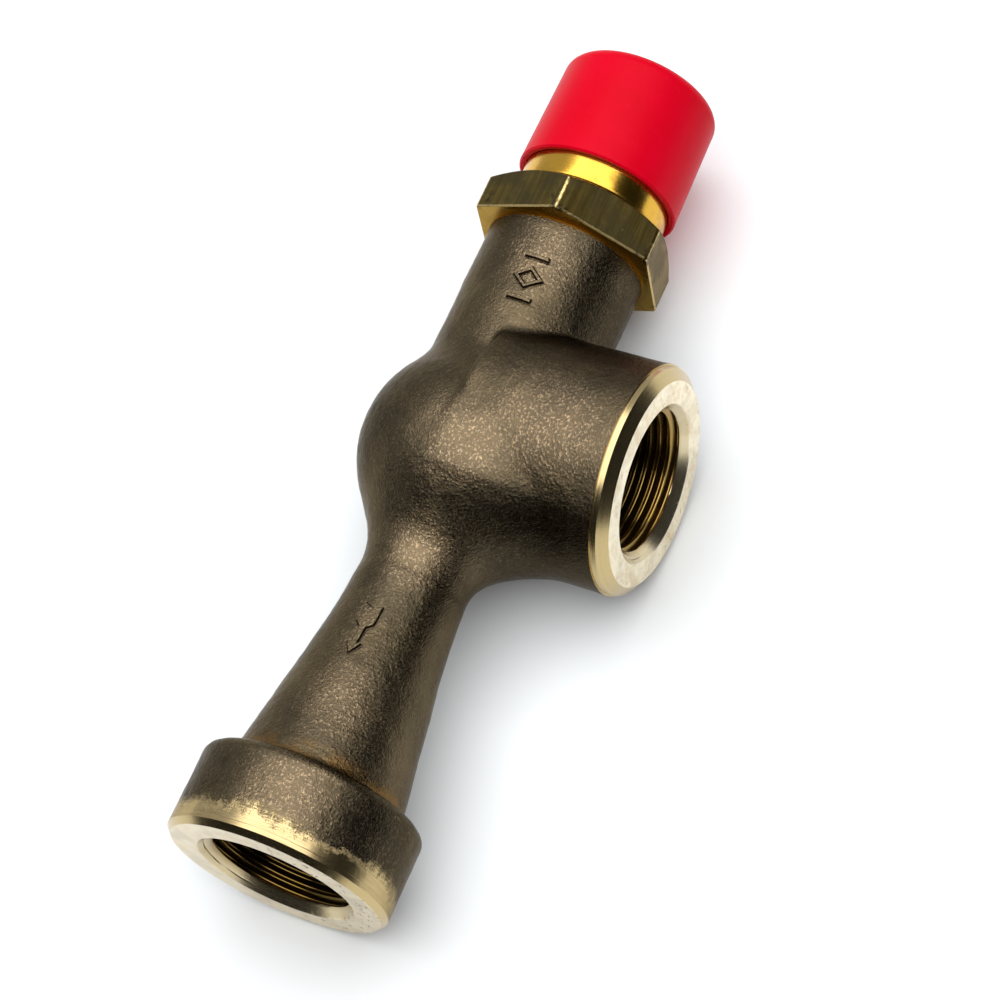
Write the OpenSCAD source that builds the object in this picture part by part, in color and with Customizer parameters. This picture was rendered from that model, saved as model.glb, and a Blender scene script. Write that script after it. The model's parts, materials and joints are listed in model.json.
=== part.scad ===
// Pressure relief valve with a cast angle body, a spring-loaded piston and a capped adjusting end.
// The main axis is +X, from the outlet face at x = 0 to the protective cap.
// The side port (the inlet) points along -Y, and +Z is up.

/* [Outlet collar] */
// Outside radius of the outlet collar
collar_r = 19.5; // [18.5:0.1:20.5]
// Length of the outlet collar
collar_len = 16; // [15:0.5:17]
// Chamfer on the rim of the outlet collar
collar_chamfer = 1.5; // [0.5:0.1:2]

/* [Cast body] */
// Radius of the outlet cone where it leaves the collar
cone_root_r = 15; // [14.6:0.1:16]
// Radius of the waist between the cone and the bulb
waist_r = 9.6; // [9.4:0.1:10.2]
// Place of the waist along the axis
waist_x = 50; // [49:0.5:51]
// Radius of the round bulb
bulb_r = 19.4; // [19:0.1:20]
// Place of the bulb's centre along the axis
bulb_x = 79.5; // [79:0.5:80]
// Radius of the neck that holds the bonnet
neck_r = 14.3; // [14:0.1:15]
// Place of the neck's end face along the axis
neck_end_x = 120.6; // [120.6:0.1:121]
// Height of the raised flow arrow
arrow_h = 0.5; // [0.3:0.1:0.8]

/* [Inlet boss] */
// Place of the inlet boss's axis along the main axis
boss_x = 84.5; // [84:0.5:85]
// Radius of the inlet boss near the bulb
boss_root_r = 19.5; // [19:0.1:20]
// Radius of the inlet boss at its turned rim
boss_r = 20; // [19.6:0.1:20.4]
// Distance of the inlet face from the main axis
boss_face = 32.1; // [31:0.1:34]
// Radius of the flat face inside the rim's chamfer
boss_flat_r = 17.7; // [17:0.1:18.5]
// Length of the rim's chamfer
boss_chamfer = 2.8; // [2:0.1:3]

/* [Threaded ports] */
// Radius of the thread's bored wall in both ports
thread_r = 11.9; // [11.5:0.1:12.2]
// Length of the bored wall in both ports
thread_len = 16; // [15:0.5:16]
// Radius of the countersink at both port faces
sink_r = 13.85; // [13:0.05:14.5]
// Depth of the countersink
sink_depth = 2; // [1:0.1:2.5]

/* [Piston and seat] */
// Radius of the flow hole through the seat
seat_bore_r = 6.2; // [5.8:0.1:6.4]
// Radius of the piston's nose
nose_r = 9.5; // [9.2:0.1:9.8]
// Radius of the piston's sliding skirt
skirt_r = 8.9; // [8.8:0.05:9]
// Lift of the piston from its seat to its stop
piston_lift = 4; // [3:0.5:4]
// Radial clearance of the parts that slide or turn
run_gap = 0.05; // [0.03:0.01:0.08]

/* [Spring] */
// Radius of the spring's wire
wire_r = 0.9; // [0.7:0.1:1]
// Radius of the spring's coil at the wire's centre
coil_r = 6.2; // [6:0.1:6.4]
// Number of turns
coil_turns = 11; // [9:1:12]

/* [Bonnet] */
// Width of the bonnet's hexagon across its flats
hex_af = 31.75; // [30:0.25:33]
// Thickness of the bonnet's hexagon
hex_t = 7.85; // [7:0.05:9]
// Angle of the hexagon's corners about the main axis
hex_turn = 37; // [0:1:59]
// Outside radius of the bonnet's barrel
barrel_r = 13.35; // [13.2:0.05:13.4]
// Place of the barrel's end along the axis
barrel_end_x = 146; // [146:0.5:147]

/* [Adjuster] */
// Radius of the adjusting screw
screw_r = 4; // [3.8:0.1:4.1]
// Width of the lock nut across its flats
nut_af = 13; // [12:0.5:14]

/* [Protective cap] */
// Place of the cap's open lip along the axis
cap_lip_x = 134.1; // [133:0.1:135]
// Outside radius of the cap at its lip
cap_lip_r = 14.64; // [14.6:0.02:15]
// Outside radius of the cap near its closed end
cap_end_r = 14.23; // [14.2:0.01:14.6]
// Place of the cap's closed end along the axis
cap_top_x = 156; // [156:0.5:158]

/* [Hidden] */
$fn = 96;
cut = 1;                 // how far a cutting tool runs past a face
bronze = [0.42, 0.35, 0.26];
brass = [0.72, 0.6, 0.32];
steel = [0.7, 0.7, 0.68];
rubber = [0.08, 0.08, 0.08];
red = [0.9, 0.02, 0.08];

arc_step = 6;            // degrees between the points of a rounded stretch
shoulder_r = 2;          // rounding on the back of the collar and of the boss
waist_fillet = 15;       // hollow between the waist and the bulb
neck_fillet = 6;         // hollow between the bulb and the neck
boss_back = 1.5;         // distance of the boss's back end from the main axis

// The passages inside the body
throat_x = 52;           // where the outlet passage reaches its narrowest
counterbore_x = 60;      // where the seat ring's pocket starts
chamber_x0 = 67;
chamber_x1 = 91;
chamber_r = 12.4;
seat_pocket_r = 9;
sleeve_pocket_r = 10.9;
flange_x = 103;          // step that the guide sleeve's flange rests on
spigot_bore_r = 11.4;
inlet_passage_r = 8;

// The seat and the piston
seat_face_x = 69;
disc_t = 3;
disc_r = 8.2;
nose_end_x = 78;
skirt_end_x = 102;
spring_pocket_r = 7.4;
spring_pocket_x = 86;
plate_t = 2;
sleeve_x0 = 93.5;
sleeve_x1 = 105;
fit_gap = 0.03;          // gap between parts that are fixed together
lift_stop_x = skirt_end_x + piston_lift + 0.1;
chamber_bore_r = 8.4;    // spring chamber in the bonnet

// The adjuster
spring_top_x = 133;
button_t = 3;
button_r = 8.2;
ball_r = 2;
ball_x = 137;
ball_pocket_r = ball_r + run_gap;
screw_x0 = 138.2;
screw_x1 = 152.5;
end_wall_x = 140;
washer_t = 1.2;
washer_r = 6.5;
nut_t = 4.3;
nut_x = barrel_end_x + washer_t;
hex_x1 = neck_end_x + hex_t;

// Points on an arc about (r, x) from angle a0 to a1, where angle 0 points away from the axis.
function arc(r, x, radius, a0, a1) =
    let (n = ceil(abs(a1 - a0) / arc_step))
    [for (i = [0:n]) let (a = a0 + (a1 - a0) * i / n) [r + radius * cos(a), x + radius * sin(a)]];

// Turns a shape drawn along +Z so that it lies along the main axis.
module along_x() {
    rotate([0, 90, 0]) children();
}

// Turns a shape drawn along +Z so that it points along -Y from the main axis at boss_x.
module along_inlet() {
    translate([boss_x, 0, 0]) rotate([90, 0, 0]) children();
}

module rod_x(x0, x1, r) {
    translate([x0, 0, 0]) along_x() cylinder(h = x1 - x0, r = r);
}

module cone_x(x0, x1, r0, r1) {
    translate([x0, 0, 0]) along_x() cylinder(h = x1 - x0, r1 = r0, r2 = r1);
}

module ring_x(x0, x1, outer, inner) {
    difference() {
        rod_x(x0, x1, outer);
        rod_x(x0 - cut, x1 + cut, inner);
    }
}

module o_ring_x(x, mean_r, section_r) {
    translate([x, 0, 0]) along_x() rotate_extrude() translate([mean_r, 0]) circle(r = section_r, $fn = 24);
}

module hex_x(x0, x1, across_flats, turn) {
    corner_r = across_flats / 2 / cos(30);
    rotate([turn, 0, 0]) translate([x0, 0, 0]) along_x() rotate([0, 0, 90])
        cylinder(h = x1 - x0, r = corner_r, $fn = 6);
}

// Hexagon whose corners are chamfered by 30 degrees at its far end, down to a round face.
module chamfered_hex_x(x0, x1, across_flats, turn, face_r) {
    clear_r = across_flats / 2 / cos(30) + cut;
    slope = tan(30);
    intersection() {
        hex_x(x0, x1, across_flats, turn);
        along_x() rotate_extrude() polygon([
            [0, x0 - cut], [clear_r, x0 - cut], [clear_r, x1 - (clear_r - face_r) * slope],
            [face_r - cut, x1 + cut * slope], [0, x1 + cut * slope],
        ]);
    }
}

// Bored wall of a threaded port with its countersink, drawn along +Z from the port's face.
module port_bore() {
    translate([0, 0, -cut]) cylinder(h = cut + sink_depth + thread_len, r = thread_r);
    cylinder(h = sink_depth, r1 = sink_r, r2 = thread_r);
}

// Half outline of the casting along the main axis: collar, cone, waist, bulb and neck.
module axial_outline() {
    waist_centre_r = waist_r + waist_fillet;
    waist_reach = bulb_r + waist_fillet;
    waist_arc_x = bulb_x - sqrt(waist_reach * waist_reach - waist_centre_r * waist_centre_r);
    bulb_start = asin(-(bulb_x - waist_arc_x) / waist_reach);
    neck_centre_r = neck_r + neck_fillet;
    neck_reach = bulb_r + neck_fillet;
    neck_arc_x = bulb_x + sqrt(neck_reach * neck_reach - neck_centre_r * neck_centre_r);
    bulb_end = asin((neck_arc_x - bulb_x) / neck_reach);
    polygon(concat(
        [[0, 0], [collar_r - collar_chamfer, 0], [collar_r, collar_chamfer]],
        arc(collar_r - shoulder_r, collar_len - shoulder_r, shoulder_r, 0, 90),
        [[cone_root_r + 0.5, collar_len], [cone_root_r, collar_len + 1]],
        [[waist_r, waist_x]],
        arc(waist_centre_r, waist_arc_x, waist_fillet, 180, 180 + bulb_start),
        arc(0, bulb_x, bulb_r, bulb_start, bulb_end),
        arc(neck_centre_r, neck_arc_x, neck_fillet, 180 + bulb_end, 180),
        [[neck_r, neck_end_x], [0, neck_end_x]]
    ));
}

// Half outline of the inlet boss, drawn along +Z from its back end to its face.
module boss_outline() {
    polygon(concat(
        [[0, boss_back]],
        arc(boss_root_r - shoulder_r, boss_back + shoulder_r, shoulder_r, -90, 0),
        [[boss_r, boss_face - boss_chamfer], [boss_flat_r, boss_face], [0, boss_face]]
    ));
}

// Raised arrow on the cone, pointing to the outlet.
module flow_arrow() {
    tail_x = 46;
    notch_x = 45;
    fletch_x = 42;
    head_x = 38.6;
    tip_x = 36.4;
    half_w = 1.5;
    half_shaft = 0.5;
    depth = 1.5;
    slope = atan((cone_root_r - waist_r) / (waist_x - collar_len - 1));
    surface_r = waist_r + (waist_x - fletch_x) * tan(slope);
    translate([fletch_x, 0, surface_r - depth]) rotate([0, slope, 0]) translate([-fletch_x, 0, 0])
        linear_extrude(height = depth + arrow_h) polygon([
            [tail_x, half_w], [notch_x, 0], [tail_x, -half_w], [fletch_x, -half_w],
            [fletch_x, -half_shaft], [head_x, -half_shaft], [head_x, -half_w], [tip_x, 0],
            [head_x, half_w], [head_x, half_shaft], [fletch_x, half_shaft], [fletch_x, half_w],
        ]);
}

module valve_body() {
    color(bronze) difference() {
        union() {
            along_x() rotate_extrude() axial_outline();
            along_inlet() rotate_extrude() boss_outline();
            flow_arrow();
        }
        along_x() port_bore();
        cone_x(sink_depth + thread_len, throat_x, thread_r - 1.4, seat_bore_r);
        rod_x(throat_x - cut, counterbore_x + cut, seat_bore_r);
        rod_x(counterbore_x, chamber_x0 + cut, seat_pocket_r);
        rod_x(chamber_x0, chamber_x1, chamber_r);
        rod_x(chamber_x1 - cut, flange_x, sleeve_pocket_r);
        rod_x(flange_x, neck_end_x + cut, spigot_bore_r);
        rod_x(neck_end_x - 1.2, neck_end_x + cut, spigot_bore_r + 1.2);
        translate([boss_x, -boss_face, 0]) rotate([-90, 0, 0]) port_bore();
        along_inlet() cylinder(h = boss_face - sink_depth - thread_len + cut / 2, r = inlet_passage_r);
    }
}

module seat_ring() {
    lip_x = 67.4;
    lip_r = 8;
    groove_x = 62.5;
    color(brass) difference() {
        union() {
            rod_x(counterbore_x, lip_x, seat_pocket_r - fit_gap);
            cone_x(lip_x, seat_face_x, lip_r, lip_r - 0.6);
        }
        rod_x(counterbore_x - cut, seat_face_x + cut, seat_bore_r);
        difference() {
            rod_x(groove_x, groove_x + 2, seat_pocket_r + cut);
            rod_x(groove_x - cut, groove_x + 2 + cut, 7.6);
        }
    }
}

module seat_o_ring() {
    color(rubber) o_ring_x(63.5, 8.28, 0.67);
}

module piston() {
    color(brass) difference() {
        union() {
            rod_x(seat_face_x + 0.6, nose_end_x, nose_r);
            rod_x(nose_end_x - cut, skirt_end_x, skirt_r);
        }
        rod_x(seat_face_x - cut, seat_face_x + disc_t, disc_r + run_gap);
        rod_x(seat_face_x, 80, 2);
        rod_x(seat_face_x, spring_pocket_x + cut, 1);
        rod_x(spring_pocket_x, skirt_end_x + cut, spring_pocket_r);
    }
}

module seat_disc() {
    color(rubber) ring_x(seat_face_x, seat_face_x + disc_t, disc_r, 2 + run_gap);
}

module disc_washer() {
    color(steel) ring_x(seat_face_x - 1, seat_face_x, 4.8, 2 + run_gap);
}

module disc_screw() {
    head_x = 66;
    head_af = 6;
    color(steel) difference() {
        union() {
            hex_x(head_x, seat_face_x - 1, head_af, 0);
            rod_x(head_x + 1, 79.5, 2 - fit_gap);
        }
        rod_x(head_x - cut, 80.5, 0.8);
    }
}

module piston_seal() {
    color(rubber) o_ring_x(97, 9.47, 0.5);
}

module guide_sleeve() {
    outer = sleeve_pocket_r - fit_gap;
    color(brass) difference() {
        union() {
            rod_x(sleeve_x0, sleeve_x1 - cut, outer);
            rod_x(flange_x, sleeve_x1, spigot_bore_r - fit_gap);
        }
        rod_x(sleeve_x0 - cut, sleeve_x1 + cut, skirt_r + run_gap);
        rod_x(96.3, 97.7, 10);
        difference() {
            rod_x(99.5, 101, outer + cut);
            rod_x(99, 101.5, 9.95);
        }
    }
}

module sleeve_o_ring() {
    color(rubber) o_ring_x(100.25, 10.42, 0.45);
}

module lower_spring_plate() {
    color(steel) difference() {
        union() {
            rod_x(spring_pocket_x, spring_pocket_x + plate_t, spring_pocket_r - run_gap);
            rod_x(spring_pocket_x + cut, spring_pocket_x + plate_t + 3, coil_r - wire_r - 0.3);
        }
        rod_x(spring_pocket_x - cut, spring_pocket_x + plate_t + 4, 1.5);
    }
}

// Closed-end compression spring, swept round the main axis.
module spring() {
    sides = 8;
    steps_per_turn = 18;
    x0 = spring_pocket_x + plate_t + wire_r;
    x1 = spring_top_x - wire_r;
    steps = coil_turns * steps_per_turn;
    function along(t) =
        let (close = 2 * wire_r, turn = t * coil_turns, free = x1 - x0 - 2 * close)
        turn < 1 ? x0 + close * turn
        : turn > coil_turns - 1 ? x1 - close * (coil_turns - turn)
        : x0 + close + free * (turn - 1) / (coil_turns - 2);
    points = [
        for (i = [0:steps], k = [0:sides - 1])
            let (a = 360 * coil_turns * i / steps, b = 360 * k / sides, r = coil_r + wire_r * cos(b))
            [along(i / steps) + wire_r * sin(b), r * cos(a), r * sin(a)]
    ];
    walls = [
        for (i = [0:steps - 1], k = [0:sides - 1])
            let (n = (k + 1) % sides)
            [i * sides + k, i * sides + n, (i + 1) * sides + n, (i + 1) * sides + k]
    ];
    first_end = [for (k = [sides - 1:-1:0]) k];
    last_end = [for (k = [0:sides - 1]) steps * sides + k];
    color(steel) polyhedron(points, concat(walls, [first_end, last_end]));
}

module upper_spring_button() {
    color(steel) difference() {
        union() {
            rod_x(spring_top_x, spring_top_x + button_t, button_r);
            rod_x(spring_top_x - 3, spring_top_x + cut, coil_r - wire_r - 0.3);
        }
        translate([ball_x, 0, 0]) sphere(r = ball_pocket_r);
    }
}

module thrust_ball() {
    color(steel) translate([ball_x, 0, 0]) sphere(r = ball_r);
}

module adjusting_screw() {
    slot_w = 1.4;
    slot_depth = 1.8;
    color(steel) difference() {
        union() {
            rod_x(screw_x0, screw_x1 - 0.6, screw_r);
            cone_x(screw_x1 - 0.6, screw_x1, screw_r, screw_r - 0.6);
        }
        translate([ball_x, 0, 0]) sphere(r = ball_pocket_r);
        translate([screw_x1 - slot_depth, -screw_r - cut, -slot_w / 2])
            cube([slot_depth + cut, 2 * (screw_r + cut), slot_w]);
    }
}

module screw_o_ring() {
    color(rubber) o_ring_x(143, 4.65, 0.58);
}

module bonnet() {
    color(brass) difference() {
        union() {
            rod_x(sleeve_x1, neck_end_x + cut, spigot_bore_r - run_gap);
            chamfered_hex_x(neck_end_x, hex_x1, hex_af, hex_turn, hex_af / 2 - 0.5);
            rod_x(hex_x1 - cut, barrel_end_x - 1, barrel_r);
            cone_x(barrel_end_x - 1, barrel_end_x, barrel_r, barrel_r - 1);
        }
        rod_x(sleeve_x1 - cut, lift_stop_x, skirt_r + 0.2);
        rod_x(lift_stop_x - cut, end_wall_x, chamber_bore_r);
        rod_x(end_wall_x - cut, barrel_end_x + cut, screw_r + run_gap);
        rod_x(142.2, 143.8, 5.3);
    }
}

module bonnet_o_ring() {
    color(rubber) o_ring_x(neck_end_x - 0.6, 12, 0.58);
}

module lock_washer() {
    color(steel) ring_x(barrel_end_x, nut_x, washer_r, screw_r + run_gap);
}

module lock_nut() {
    color(steel) difference() {
        chamfered_hex_x(nut_x, nut_x + nut_t, nut_af, 0, nut_af / 2 - 0.2);
        rod_x(nut_x - cut, nut_x + nut_t + cut, screw_r + run_gap);
    }
}

// Push-on plastic cap over the barrel.
module protective_cap() {
    wall = 1.2;
    edge_r = 2.5;
    inner_r = barrel_r + 0.07;
    taper_x = 148;
    inner_end_r = cap_end_r - wall;
    color(red) along_x() rotate_extrude() polygon(concat(
        [[inner_r, cap_lip_x], [cap_lip_r, cap_lip_x]],
        arc(cap_end_r - edge_r, cap_top_x - edge_r, edge_r, 0, 90),
        [[0, cap_top_x], [0, cap_top_x - wall], [inner_end_r - 1.3, cap_top_x - wall]],
        [[inner_end_r, cap_top_x - wall - 1.3], [inner_r, taper_x]]
    ));
}

valve_body();
seat_ring();
seat_o_ring();
piston();
seat_disc();
disc_washer();
disc_screw();
piston_seal();
guide_sleeve();
sleeve_o_ring();
lower_spring_plate();
spring();
upper_spring_button();
thrust_ball();
adjusting_screw();
screw_o_ring();
bonnet();
bonnet_o_ring();
lock_washer();
lock_nut();
protective_cap();
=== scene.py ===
"""Looks of the pressure relief valve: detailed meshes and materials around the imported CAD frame.

Lengths in this script are millimetres until a mesh is made. x runs along the main axis from the outlet face
to the cap, the inlet points along -y, and z is up.
"""

import itertools
import json
import math

import bmesh
import bpy
import numpy as np
from mathutils import Matrix, Vector, noise


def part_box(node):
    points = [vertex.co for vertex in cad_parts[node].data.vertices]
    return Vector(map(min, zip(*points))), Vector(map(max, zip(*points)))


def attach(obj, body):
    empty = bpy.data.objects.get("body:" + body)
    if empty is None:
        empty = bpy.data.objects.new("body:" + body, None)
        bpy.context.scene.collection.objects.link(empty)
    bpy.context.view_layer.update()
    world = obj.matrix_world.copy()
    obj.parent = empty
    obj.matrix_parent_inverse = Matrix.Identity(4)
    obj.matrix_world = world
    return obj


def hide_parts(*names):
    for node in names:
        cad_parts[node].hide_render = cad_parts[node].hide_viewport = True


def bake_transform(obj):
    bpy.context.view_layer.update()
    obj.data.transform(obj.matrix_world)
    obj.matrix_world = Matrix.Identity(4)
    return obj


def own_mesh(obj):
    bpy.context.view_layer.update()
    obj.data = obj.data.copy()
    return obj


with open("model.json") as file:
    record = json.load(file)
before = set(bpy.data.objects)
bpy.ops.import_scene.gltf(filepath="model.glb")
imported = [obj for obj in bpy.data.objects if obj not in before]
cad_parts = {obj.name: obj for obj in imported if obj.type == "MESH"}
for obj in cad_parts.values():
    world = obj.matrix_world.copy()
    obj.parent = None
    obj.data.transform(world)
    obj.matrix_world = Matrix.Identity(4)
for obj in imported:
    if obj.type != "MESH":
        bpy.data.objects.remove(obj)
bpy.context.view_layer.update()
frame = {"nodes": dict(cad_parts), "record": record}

MM = 0.001


# ---------------------------------------------------------------- sizes from the frame

def box_mm(node):
    """Lowest and highest corner of a CAD node, in millimetres."""
    low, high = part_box(node)
    return np.array(low) / MM, np.array(high) / MM


MOUNTS = {m["name"]: m for m in frame["record"]["mounts"]}
BODY_LOW, BODY_HIGH = box_mm("valve_body")
BONNET_LOW, BONNET_HIGH = box_mm("bonnet")
CAP_LOW, CAP_HIGH = box_mm("protective_cap")
SCREW_LOW, SCREW_HIGH = box_mm("adjusting_screw")
NUT_LOW, NUT_HIGH = box_mm("lock_nut")
WASHER_LOW, WASHER_HIGH = box_mm("lock_washer")
SPRING_LOW, SPRING_HIGH = box_mm("spring")

COLLAR_R = BODY_HIGH[1]
NECK_END = BODY_HIGH[0]
BOSS_R = BODY_HIGH[2]
BOSS_FACE = -BODY_LOW[1]
BOSS_X = MOUNTS["inlet_port"]["pos_m"][0] / MM
THREAD_R = MOUNTS["inlet_port"]["dims"]["r_mm"]
THREAD_LEN = MOUNTS["inlet_port"]["dims"]["length_mm"]

COLLAR_LEN = 16.0
CONE_ROOT_R, WAIST_R, WAIST_X = 15.0, 9.6, 50.0
BULB_X, BULB_R = 79.5, 19.4
NECK_R = 14.3
INLET_FLAT_R = 17.7    # flat face of the inlet rim
OUTLET_FLAT_R = 18.5   # flat face of the outlet rim
STRIP_END = 2.6        # how far the turned strip reaches back from the inlet face
SINK_R, SINK_DEPTH = 13.85, 2.0
PITCH = 25.4 / 14      # 14 threads an inch
PORT_DEPTH = SINK_DEPTH + THREAD_LEN
SEAT_BORE_R = 6.2
SKIN_STEP = 0.5        # grid of the cast skin

HEX_AF, HEX_TURN = 31.75, math.radians(37)
HEX_X0, HEX_X1 = NECK_END, NECK_END + 7.85
BARREL_R, BARREL_END = 13.35, BONNET_HIGH[0]
SCREW_HOLE_R = 4.05


# ---------------------------------------------------------------- materials

class Graph:
    """A material's nodes. place is a point of the piece, in millimetres of the shared frame."""

    def __init__(self, name):
        self.material = bpy.data.materials.new(name)
        self.material.use_nodes = True
        self.tree = self.material.node_tree
        self.shader = self.tree.nodes["Principled BSDF"]
        metres = self.node("ShaderNodeTexCoord", {}, "Object")
        self.place = self.stretch(metres, 1 / MM, 1 / MM, 1 / MM)
        parts = self.tree.nodes.new("ShaderNodeSeparateXYZ")
        self.feed(parts.inputs[0], self.place)
        self.x, self.y, self.z = parts.outputs[:]

    def feed(self, socket, value):
        """Links a node's output to the socket, or sets a plain value."""
        if isinstance(value, bpy.types.NodeSocket):
            self.tree.links.new(value, socket)
        else:
            socket.default_value = value

    def node(self, kind, inputs, out=0, **settings):
        made = self.tree.nodes.new(kind)
        for key, value in settings.items():
            setattr(made, key, value)
        for key, value in inputs.items():
            self.feed(made.inputs[key], value)
        return made.outputs[out]

    def stretch(self, vector, x, y, z):
        return self.node("ShaderNodeVectorMath", {0: vector, 1: (x, y, z)}, operation="MULTIPLY")

    def join(self, x, y, z=0.0):
        return self.node("ShaderNodeCombineXYZ", {0: x, 1: y, 2: z})

    def length(self, a, b):
        """Distance from an axis, from the two coordinates across it."""
        return self.node("ShaderNodeVectorMath", {0: self.join(a, b)}, "Value", operation="LENGTH")

    def math(self, operation, a, b=0.0):
        return self.node("ShaderNodeMath", {0: a, 1: b}, operation=operation)

    def add(self, a, b):
        return self.math("ADD", a, b)

    def times(self, a, b):
        return self.math("MULTIPLY", a, b)

    def noise(self, scale, detail=2.0, rough=0.5, vector=None):
        inputs = {"Vector": vector or self.place, "Scale": scale, "Detail": detail, "Roughness": rough}
        return self.node("ShaderNodeTexNoise", inputs, "Fac")

    def step(self, value, low, high):
        """0 at low, 1 at high, smooth between. low may be the larger one."""
        inputs = {"Value": value, "From Min": low, "From Max": high}
        return self.node("ShaderNodeMapRange", inputs, interpolation_type="SMOOTHSTEP")

    def mix(self, share, a, b):
        a, b = [c if isinstance(c, bpy.types.NodeSocket) else (*c, 1) for c in (a, b)]
        return self.node("ShaderNodeMix", {0: share, 6: a, 7: b}, 2, data_type="RGBA")

    def blend(self, share, a, b):
        """Value between a and b."""
        return self.node("ShaderNodeMix", {0: share, 2: a, 3: b}, 0, data_type="FLOAT")

    def spots(self, places):
        """1 inside ragged round patches, given as (centre, radius) pairs."""
        ragged = self.times(self.noise(0.3, 3.0, 0.65), 9.0)
        share = 0.0
        for centre, size in places:
            ends = {0: self.place, 1: centre}
            away = self.node("ShaderNodeVectorMath", ends, "Value", operation="DISTANCE")
            patch = self.step(self.add(away, ragged), size + 5.5, size * 0.45 + 3.5)
            share = self.math("MAXIMUM", patch, share)
        return share

    def bump(self, height, depth):
        """Relief that is depth millimetres from its lowest to its highest."""
        inputs = {"Height": height, "Distance": depth * MM, "Strength": 1.0}
        self.feed(self.shader.inputs["Normal"], self.node("ShaderNodeBump", inputs))

    def use(self, **inputs):
        """Sets the shader's inputs. Base_Color stands for Base Color."""
        for key, value in inputs.items():
            if isinstance(value, tuple):
                value = (*value, 1)
            self.feed(self.shader.inputs[key.replace("_", " ")], value)
        return self.material


# Patches of the casting as (centre, radius) in mm: bright on the crowns, worn by rubbing and also painted
# highlight where the overhead light falls, and dark on the flanks and beside the boss as painted shade.
RUBBED_AND_LIT_SPOTS = [
    ((8.5, -4, 19.5), 10), ((82, -18, 19.5), 12), ((75, -5, 18), 9), ((57, -3, 10), 8), ((28, -3, 13), 8),
    ((113, -2, 14), 8),
]
PAINTED_SHADE_SPOTS = [
    ((110, -14, 1), 13), ((8, -17, 7), 12), ((77, 16, 10), 14), ((8, 15, 13), 11), ((65, -22, 2), 17),
]


def cast_bronze(name, raised=False, crease=False):
    """Sand-cast skin: brown patina with fine grain, bright spots on the crowns that are worn by rubbing and
    also painted highlight, darker flanks that are painted shade, and a ragged turned collar edge. The tops of
    the raised marks are worn all over by rubbing, and the crease round them is dark."""
    g = Graph(name)
    r = g.length(g.y, g.z)
    grain = g.noise(2.1, 2.0, 0.55)
    fine = g.noise(5.0, 2.0, 0.6)
    relief = g.add(g.times(grain, 0.6), g.times(fine, 0.4))
    peaks = g.step(relief, 0.50, 0.66)
    patches = g.step(g.noise(0.11, 4.0, 0.62), 0.35, 0.68)
    skin = g.mix(patches, (0.080, 0.063, 0.039), (0.120, 0.090, 0.052))
    # Crown patches: worn by rubbing, and also painted highlight on the tops that face the overhead light.
    rubbed_and_lit = 0.7 if raised else g.spots(RUBBED_AND_LIT_SPOTS)
    # Flank patches: painted shade on the sides and beside the boss.
    skin = g.mix(g.times(g.spots(PAINTED_SHADE_SPOTS), 0.75), skin, (0.030, 0.025, 0.017))
    skin = g.mix(g.times(rubbed_and_lit, 0.5), skin, (0.150, 0.110, 0.066))
    skin = g.mix(g.times(peaks, g.blend(rubbed_and_lit, 0.2, 0.7)), skin, (0.42, 0.31, 0.19))
    root = g.times(g.step(g.x, 15.2, 16.6), g.step(g.x, 20.5, 17.0))
    root = g.times(g.times(root, g.step(r, 17.2, 15.6)), g.step(g.noise(0.35, 3.0, 0.6), 0.35, 0.6))
    skin = g.mix(g.times(root, 0.7), skin, (0.20, 0.105, 0.028))
    if crease:
        skin = g.mix(0.75, skin, (0.022, 0.017, 0.010))

    lathe = g.noise(1.0, 3.0, 0.6, g.stretch(g.place, 5.0, 0.25, 0.25))
    reach = g.add(g.times(g.noise(0.13, 2.0, 0.5), 8.0), g.times(lathe, 1.6))
    reach = g.add(reach, g.times(g.noise(0.9, 4.0, 0.75), 4.2))
    reach = g.add(reach, g.times(fine, 3.0))
    turned = g.times(g.step(g.math("SUBTRACT", g.x, reach), -3.2, -5.2), g.step(r, 19.0, 19.2))
    turned_color = g.mix(lathe, (0.30, 0.22, 0.09), (0.62, 0.48, 0.26))
    rough = g.add(0.17, g.times(g.noise(0.6, 3.0, 0.6), 0.12))
    g.bump(g.blend(turned, relief, g.times(lathe, 0.09)), 0.2)
    return g.use(Base_Color=g.mix(turned, skin, turned_color), Metallic=1.0,
                 Roughness=g.blend(turned, rough, 0.26), Specular_Tint=(0.60, 0.57, 0.53))


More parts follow.
